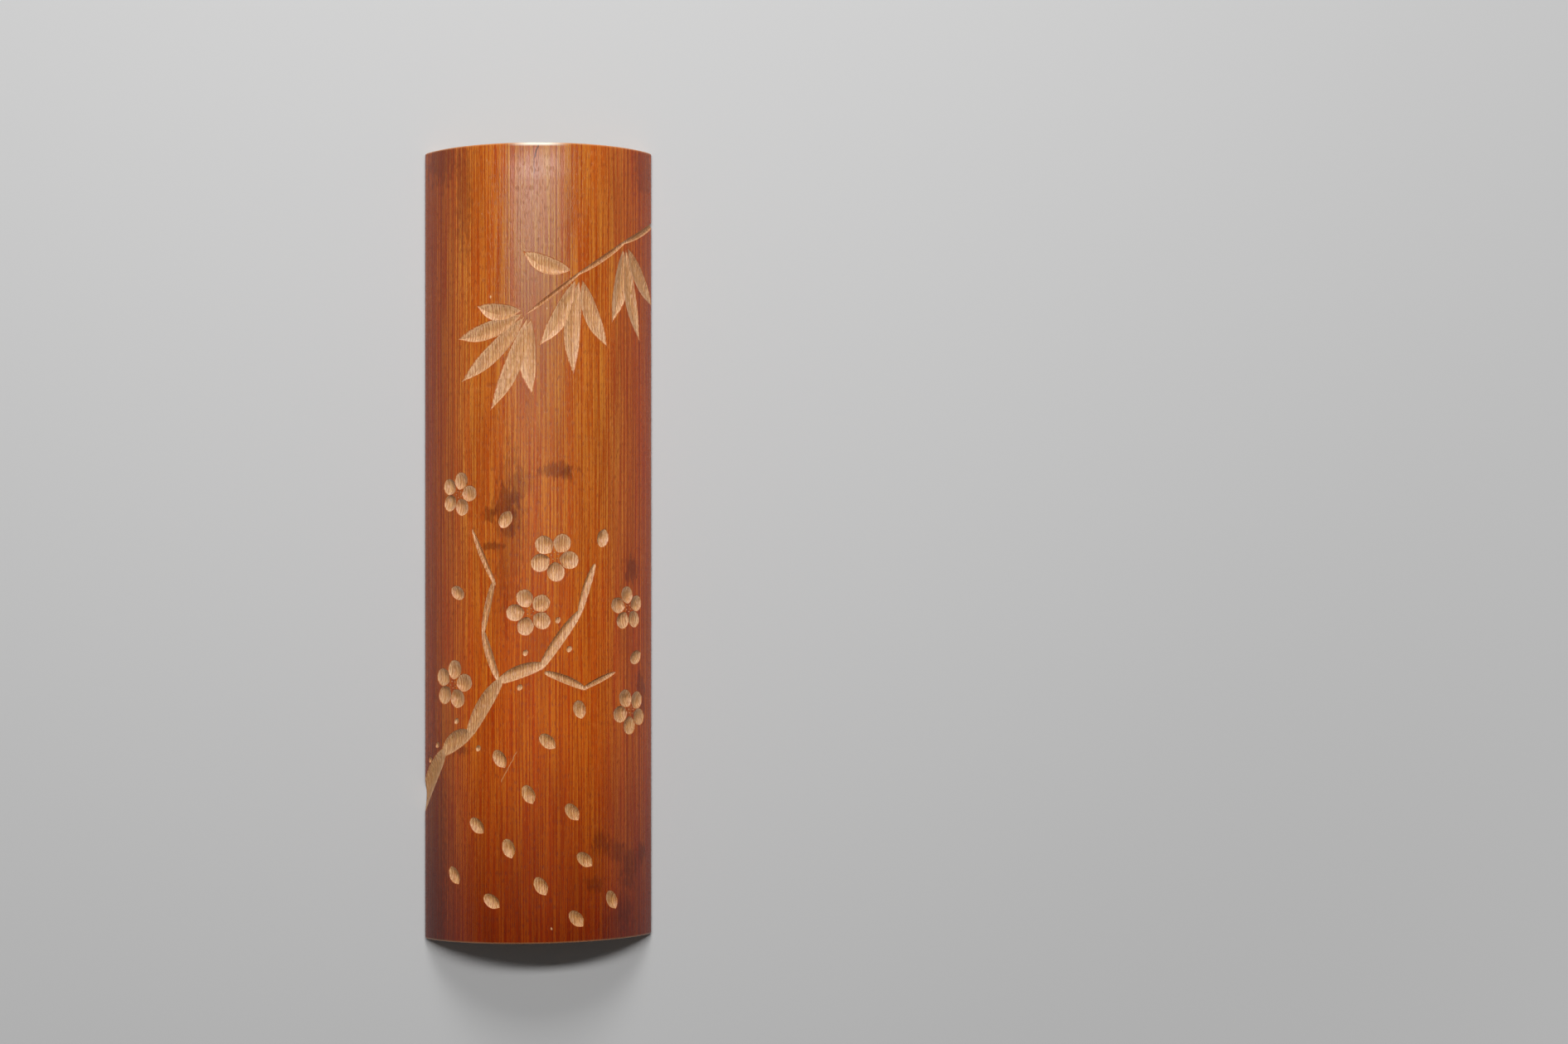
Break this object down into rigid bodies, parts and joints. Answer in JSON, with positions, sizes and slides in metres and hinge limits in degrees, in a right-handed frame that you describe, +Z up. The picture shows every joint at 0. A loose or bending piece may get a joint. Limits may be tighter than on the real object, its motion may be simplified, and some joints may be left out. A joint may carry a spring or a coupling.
{
  "type": "bamboo tea scoop",
  "caption": "Arched strip of split bamboo culm, hollow underneath, resting on its two long edges, with gouge-cut plum and bamboo carving; holds and pours tea leaves.",
  "frame": {"origin": "bottom centre of the scoop as it lies on its two long edges, hollow side down", "axes": "+Y along the strip towards the head end, +X towards its right-hand edge, +Z up through the crown"},
  "size_m": [0.06, 0.2094, 0.02],
  "materials": {
    "toned_skin": "toned warm orange brown, polished to a satin gloss",
    "bare_flesh": "pale cut fibre, matt",
    "inner_ring": "pale honey, scraped smooth"
  },
  "bodies": {
    "root": {"rind": "toned_skin", "culm_wall": "bare_flesh", "inner_lining": "inner_ring"}
  },
  "joints": []
}
